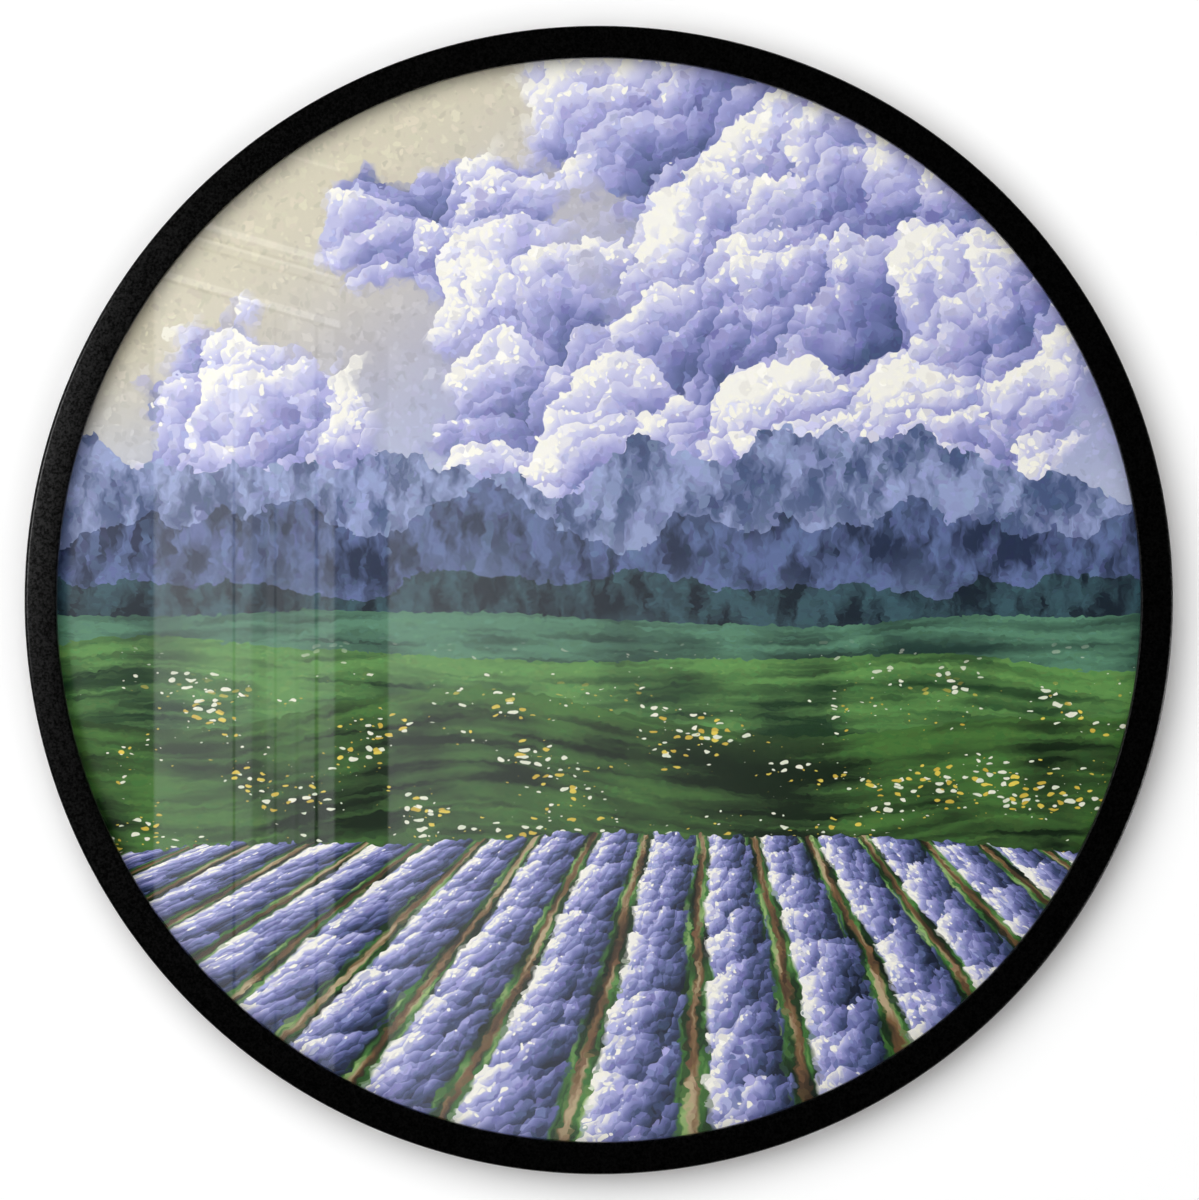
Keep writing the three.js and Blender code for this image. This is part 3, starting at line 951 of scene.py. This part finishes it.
def flower_rows(add, place):
    """Flower rows seen along their length: their colour, and how bright the flowers are."""
    across = add("SeparateXYZ", place, out="X")
    sway = add("TexNoise 2D", place, Scale=3.0, Detail=2.0)
    row = add("Math MULTIPLY", across, 1 / ROW_SPACING)
    row = add("Math MULTIPLY_ADD", sway, 0.25, row)
    side = add("Math FRACT", row)
    side = add("Math SUBTRACT", side, 0.5)
    upright = add("VectorMath MULTIPLY", place, (1, -1, 0))
    clump = puff_light(add, upright, 0.085)
    tuft = puff_light(add, upright, 0.035)
    tone = add("Math MULTIPLY_ADD", side, -0.85, 0.5)
    tone = add("Math MULTIPLY_ADD", clump, 0.2, tone)
    tone = add("Math MULTIPLY_ADD", tuft, 0.14, tone)
    shades = {0.08: "#10203a", 0.28: "#3a4b78", 0.5: "#7a80bc", 0.7: "#b6b8e8", 0.88: "#faf8f0"}
    flower = add("ValToRGB", tone, stops=shades)
    streaks = add("VectorMath MULTIPLY", place, (34, 5, 0))
    streaks = add("TexNoise 2D", streaks, Scale=1.0, Detail=2.0)
    blades = {0.3: "#0a1f12", 0.45: "#1c4618", 0.58: "#4a8638", 0.7: "#9cbc74"}
    grass = add("ValToRGB", streaks, stops=blades)
    soil = add("ValToRGB", streaks, stops={0.35: "#4f3a22", 0.5: "#84633c", 0.65: "#beaa86"})
    edge = add("Math ABSOLUTE", side)
    trodden = add("MapRange", edge, 0.44, 0.47)
    ground = add("Mix RGBA", trodden, grass, soil)
    edge = add("Math MULTIPLY_ADD", clump, -0.035, edge)
    bush = add("MapRange", edge, 0.39, 0.35)
    colour = add("Mix RGBA", bush, ground, flower)
    return colour, add("Math MULTIPLY", tone, bush)


def scenery_tree():
    """The scene's colour at a place, and how bright a cloud or a flower is there. In the field a place
    is (across, log of the depth), which keeps dabs round."""
    tree, add, given = node_group("scenery colours", "Shader", {"Place": "Vector", "Field": "Float"},
                                  {"Color": "Color", "Bright": "Float"})
    place = given["Place"]
    across, height, _ = add("SeparateXYZ", place).node.outputs
    colour, bright = painted_clouds(add, place, painted_sky(add, place, height))
    colour, land = painted_mountains(add, place, across, height, colour)
    colour = painted_hills(add, across, height, colour)
    bright = add("Math SUBTRACT", bright, land)
    rows, flowers = flower_rows(add, place)
    colour = add("Mix RGBA", given["Field"], colour, rows)
    bright = add("Mix", given["Field"], bright, flowers)
    add("NodeGroupOutput", Color=colour, Bright=bright)
    return tree


def dab_cells(add, place, pitch, coat):
    """The brush dab over a place: its middle, how far off that is in dab pitches, and three chances."""
    shift = (3.17 * coat, 1.93 * coat, 0)
    moved = add("VectorMath ADD", place, shift)
    cells = add("TexVoronoi 2D", moved, Scale=1 / pitch).node
    middle = add("VectorMath SUBTRACT", cells.outputs["Position"], shift)
    chances = add("SeparateColor", cells.outputs["Color"]).node.outputs
    return middle, cells.outputs["Distance"], chances


def coat_of_dabs(add, scenery, place, squash, field, pitch, coat, below, left_out, cream_from=2.0):
    """Brush dabs over what lies below, each in the one colour that the scene has at its middle. The
    brightest puffs get thick cream dabs."""
    middle, off, chances = dab_cells(add, place, pitch, coat)
    middle = add("VectorMath DIVIDE", middle, squash)
    colour = add("Group", Place=middle, Field=field, node_tree=scenery).node.outputs
    bright = add("Math MULTIPLY_ADD", chances[0], 0.3, colour["Bright"])
    cream = add("MapRange", bright, cream_from, cream_from + 0.06)
    value = add("MapRange", chances[0], 0.0, 1.0, 0.88, 1.12)
    hue = add("MapRange", chances[1], 0.0, 1.0, 0.485, 0.515)
    colour = add("HueSaturation", Color=colour["Color"], Value=value, Hue=hue)
    colour = add("Mix RGBA", cream, colour, "#fefcf0")
    reach = add("MapRange", chances[2], left_out, 1.0, 0.0, 0.62)
    over = add("Math SUBTRACT", reach, off)
    over = add("MapRange", over, -0.04, 0.06)
    return add("Mix RGBA", over, below, colour)


def meadow_flowers(add, place, height, below, coat, low, high, dim, clear):
    """Drifts of small flowers across the meadows."""
    middle, off, chances = dab_cells(add, place, FLOWER_PITCH, coat)
    drift = add("TexNoise 2D", middle, Scale=5.0, Detail=2.0)
    crowd = add("Math MULTIPLY_ADD", chances[0], 0.4, drift)
    reach = add("MapRange", crowd, 0.78, 0.98, 0.0, 0.34)
    over = add("Math SUBTRACT", reach, off)
    over = add("MapRange", over, 0.0, 0.06)
    near = add("MapRange SMOOTHSTEP", height, high, low)
    over = add("Math MULTIPLY", over, near)
    petals = add("Mix RGBA", chances[1], dim, clear)
    return add("Mix RGBA", over, below, petals)


def painted_picture(add):
    """The picture's colour over the printed sheet."""
    across, height = flat_place(add, SIGHT_RADIUS)
    place = add("CombineXYZ", across, height)
    ragged = add("TexNoise 2D", place, Scale=0.5 / SMALLEST_DAB, Detail=1.0, out="Color")
    ragged = add("VectorMath SUBTRACT", ragged, (0.5, 0.5, 0.5))
    rough = add("VectorMath MULTIPLY_ADD", ragged, (SMALLEST_DAB, 2 * SMALLEST_DAB, 0), place)
    rough = add("SeparateXYZ", rough).node.outputs
    deep = below_line(add, rough["X"], rough["Y"], -0.45, 0.09, 0.9, 4.4, 1.0)
    field = add("Math GREATER_THAN", deep, 0.0)
    depth = add("Math SUBTRACT", VANISHING[1], height)
    depth = add("Math MAXIMUM", depth, 0.05)
    along = add("Math SUBTRACT", across, VANISHING[0])
    along = add("Math DIVIDE", along, depth)
    depth = add("Math LOGARITHM", depth, DEPTH_BASE)
    seen = add("CombineXYZ", along, depth)
    flatter = add("MapRange", height, HORIZON + 0.12, HORIZON - 0.04, 1.0, 2.0)
    flatter = add("Mix", field, flatter, 1.0)
    squash = add("CombineXYZ", 1.0, flatter, 1.0)
    brushed = add("Mix VECTOR", field, place, seen)
    brushed = add("VectorMath MULTIPLY", brushed, squash)
    waver = 1.6 * SMALLEST_DAB
    brushed = add("VectorMath MULTIPLY_ADD", ragged, (waver, waver, 0), brushed)
    scenery = scenery_tree()
    ground = add("VectorMath DIVIDE", brushed, squash)
    colour = add("Group", Place=ground, Field=field, node_tree=scenery)
    colour = coat_of_dabs(add, scenery, brushed, squash, field, 1.8 * SMALLEST_DAB, 2, colour, 0.2)
    colour = coat_of_dabs(add, scenery, brushed, squash, field, SMALLEST_DAB, 3, colour, 0.3, 0.84)
    meadow = add("Math ADD", height, field)
    colour = meadow_flowers(add, brushed, meadow, colour, 5, -0.16, -0.06, "#f4f2e0", "#dfe6d0")
    colour = meadow_flowers(add, brushed, meadow, colour, 6, -0.22, -0.12, "#cdb035", "#ecd654")
    return add("Gamma", colour, INK_DEPTH)


# Stage


def wall_paint():
    """White painted plaster. Seen from behind, and far from the object, it lets the white room through;
    lamps and mirrored light pass it, so that the back is lit and shiny pieces mirror the room. The ring's
    side mirrors the band of wall right beside it."""
    material, add = new_material("white_wall_paint")
    place = add("TexCoord", out="Object")
    path = add("LightPath").node.outputs
    behind = add("NewGeometry", out="Backfacing")
    distance = add("VectorMath LENGTH", place)
    fade = add("MapRange SMOOTHSTEP", distance, WALL_FADE[0] * MM, WALL_FADE[1] * MM)
    beside = add("Math COMPARE", distance, (RING_RADIUS + BESIDE_RING) * MM, BESIDE_RING * MM)
    mirrored = add("Math GREATER_THAN", path["Is Glossy Ray"], beside)
    open_to = add("Math MAXIMUM", behind, path["Is Shadow Ray"])
    open_to = add("Math MAXIMUM", open_to, mirrored)
    open_to = add("Math MAXIMUM", open_to, fade)
    white = add("BsdfDiffuse", "#ffffff")
    add("OutputMaterial", add("MixShader", open_to, white, add("BsdfTransparent")))
    return material


def stage_card(name, corners, finish, unseen=True):
    """A flat card of the stage. An unseen one shows only where something mirrors it."""
    sheet = piece_of(name, corners, [(0, 1, 2, 3)], finish)
    if unseen:
        sheet.visible_camera = False
        sheet.visible_diffuse = False
        sheet.visible_shadow = False


def square(half, y):
    """The corners of an upright square that faces the camera."""
    return [(-half, y, -half), (half, y, -half), (half, y, half), (-half, y, half)]


def wall():
    """The wall that the bumpers rest against."""
    stage_card("wall", square(WALL_HALF, BUMPER_HEIGHT), wall_paint(), unseen=False)


def mirrored_room():
    """What the polished sheet mirrors: a pale wall of tall doors under stepped mouldings, seen askew.
    Places are where each line shows on the sheet, in millimetres. Only sharp reflections see it."""
    material, add = new_material("mirrored_room")
    across, height = flat_place(add, 1 + ROOM_DISTANCE / CAMERA_DISTANCE)
    slanted = add("Math MULTIPLY_ADD", across, ROOM_SLANT, height)

    def band(place, middle, half_width, soft, level, below):
        """A strip of one level over what lies below."""
        gap = add("Math SUBTRACT", place, middle)
        gap = add("Math ABSOLUTE", gap)
        share = add("MapRange", gap, half_width + soft, half_width - soft)
        return add("Mix", share, below, level)

    doors = add("MapRange", across, -110, 150, 1.1, 0.25)
    for left, right, soft, level in (
            (-300, -236, 1.2, 0.0), (-236, -184.5, 1.2, 1.15), (-184.5, -176, 1, 0.6),
            (-176, -163, 2, 0.85), (-163, -148, 1.5, 0.95), (-148, -140.6, 0.6, 1.1),
            (-140.6, -112, 0.8, 0.15)):
        doors = band(across, (left + right) / 2, (right - left) / 2, soft, level, doors)
    for middle, half_width, level in (
            (-194, 0.7, 0.3), (-172, 0.6, 0.35), (-150.2, 0.9, 0.1), (-160.5, 1, 0.75)):
        doors = band(across, middle, half_width, 0.5, level, doors)
    ceiling = add("MapRange", slanted, 103, 200, 0.95, 0.7)
    for middle, half_width, level in (
            (189, 0.9, 1.6), (139, 1.8, 2.4), (133, 0.8, 0.1), (131.2, 0.8, 2.0), (126.4, 0.8, 0.1),
            (107, 1.8, 2.2), (104, 0.8, 0.1)):
        ceiling = band(slanted, middle, half_width, 0.5, level, ceiling)
    ended = add("MapRange", across, -138.5, -137)
    ceiling = add("Mix", ended, ceiling, 0.6)
    upper = add("MapRange", slanted, 102.6, 103.6)
    level = add("Mix", upper, doors, ceiling)
    fading = add("MapRange", across, -60, 150, 1.0, 0.25)
    level = add("Math MULTIPLY", level, fading)
    sharp = add("LightPath", out="Is Singular Ray")
    glow = add("Emission", "#f6f8fb", level)
    add("OutputMaterial", add("MixShader", sharp, add("BsdfTransparent"), glow))
    return material


def room_card():
    """A card far behind the camera that carries the mirrored room."""
    half = SIGHT_RADIUS * (1 + ROOM_DISTANCE / CAMERA_DISTANCE) * 1.05
    corners = square(half, GLAZING_FRONT - ROOM_DISTANCE)
    stage_card("room_card", reversed(corners), mirrored_room())


def studio_room():
    """White where the camera looks past the object, dim behind the camera to keep the sheet clear."""
    world = bpy.data.worlds.new("studio")
    bpy.context.scene.world = world
    world.use_nodes = True
    world.node_tree.nodes.clear()
    add = partial(add_node, world.node_tree)
    path = add("LightPath").node.outputs
    toward = add("SeparateXYZ", add("TexCoord", out="Generated"), out="Y")
    mirrored = add("MapRange SMOOTHSTEP", toward, 0.2, 0.8)
    mirrored = add("Mix", path["Is Singular Ray"], mirrored, 0.2)
    seen = add("Math MAXIMUM", path["Is Camera Ray"], path["Is Transmission Ray"])
    level = add("Mix", path["Is Glossy Ray"], 0.01, mirrored)
    level = add("Mix", seen, level, 1.0)
    add("OutputWorld", add("Background", "#ffffff", level))


def lamp(name, place, width, power, mirrored=False):
    """A round soft lamp, in metres, that faces the plane of the wall squarely."""
    light = bpy.data.lights.new(name, "AREA")
    light.shape = "DISK"
    light.size = width
    light.energy = power
    holder = object_of(name, light)
    holder.location = place
    holder.rotation_euler = (pi / 2 if place[1] < 0 else -pi / 2, 0, 0)
    holder.visible_camera = False
    holder.visible_glossy = mirrored


def strip_glow(name, strength):
    """A lamp's soft cover. The paint shows it, but a polished face looks straight through it."""
    material, add = new_material(name)
    glow = add("Emission", "#ffffff", strength)
    polished = add("LightPath", out="Is Singular Ray")
    add("OutputMaterial", add("MixShader", polished, glow, add("BsdfTransparent")))
    return material


def strip(name, place, width, height, strength):
    """A glowing strip aimed at the object, that lights no rough surface."""
    middle = Vector(place)
    right = middle.cross(Vector((0, 0, 1))).normalized() * width / 2
    up = right.cross(middle).normalized() * height / 2
    corners = [middle - right - up, middle + right - up, middle + right + up, middle - right + up]
    stage_card(name, corners, strip_glow(name, strength))


def studio_lamps():
    """A soft key from the upper left and a wide fill, neither mirrored; strips that only glance off the
    paint, at the left and along the right rim; and a rear lamp."""
    lamp("key", (-5.9, -8.0, 4.94), 15.0, 1116)
    lamp("fill", (0.37, -4.0, -0.21), 9.5, 195)
    lamp("rear", (0.6, 2.6, 1.4), 1.8, 120, mirrored=True)
    strip("left_strip", (-473, -330, 100), 90, 220, 15)
    strip("right_strip", (1100, 30, -300), 140, 440, 24)


def camera():
    """Straight in front, with the ring as wide and as placed as in the photograph."""
    data = bpy.data.cameras.new("camera")
    data.sensor_width = SENSOR
    pixel = 2 * RING_RADIUS / RING_PIXELS
    data.lens = SENSOR * CAMERA_DISTANCE / (IMAGE_WIDTH * pixel)
    holder = object_of("camera", data)
    x = (IMAGE_WIDTH / 2 - RING_CENTRE[0]) * pixel
    z = (RING_CENTRE[1] - IMAGE_HEIGHT / 2) * pixel
    holder.location = Vector((x, RING_FRONT - CAMERA_DISTANCE, z)) * MM
    holder.rotation_euler = (pi / 2, 0, 0)
    bpy.context.scene.camera = holder


def main():
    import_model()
    painted_ring(sprayed_black_board())
    layers()
    plates = bright_zinc_plate()
    fasteners = nickel_plated_steel()
    turn_buttons(plates)
    copies = copies_tree()
    round_the_ring("button_screws", screw_shape(), BUTTON_COUNT, fasteners, "screw_steel",
                   "turn_button_screw", copies, SCREW_SEAT, SCREW_TWIST)
    sawtooth_hanger(plates)
    hanger_nails(fasteners)
    round_the_ring("rubber_bumpers", bumper_shape(), BUMPER_COUNT, moulded_rubber(), "black_rubber",
                   "wall_bumper", copies)
    wall()
    room_card()
    studio_room()
    studio_lamps()
    camera()
    bpy.context.scene.view_settings.view_transform = "Standard"


main()
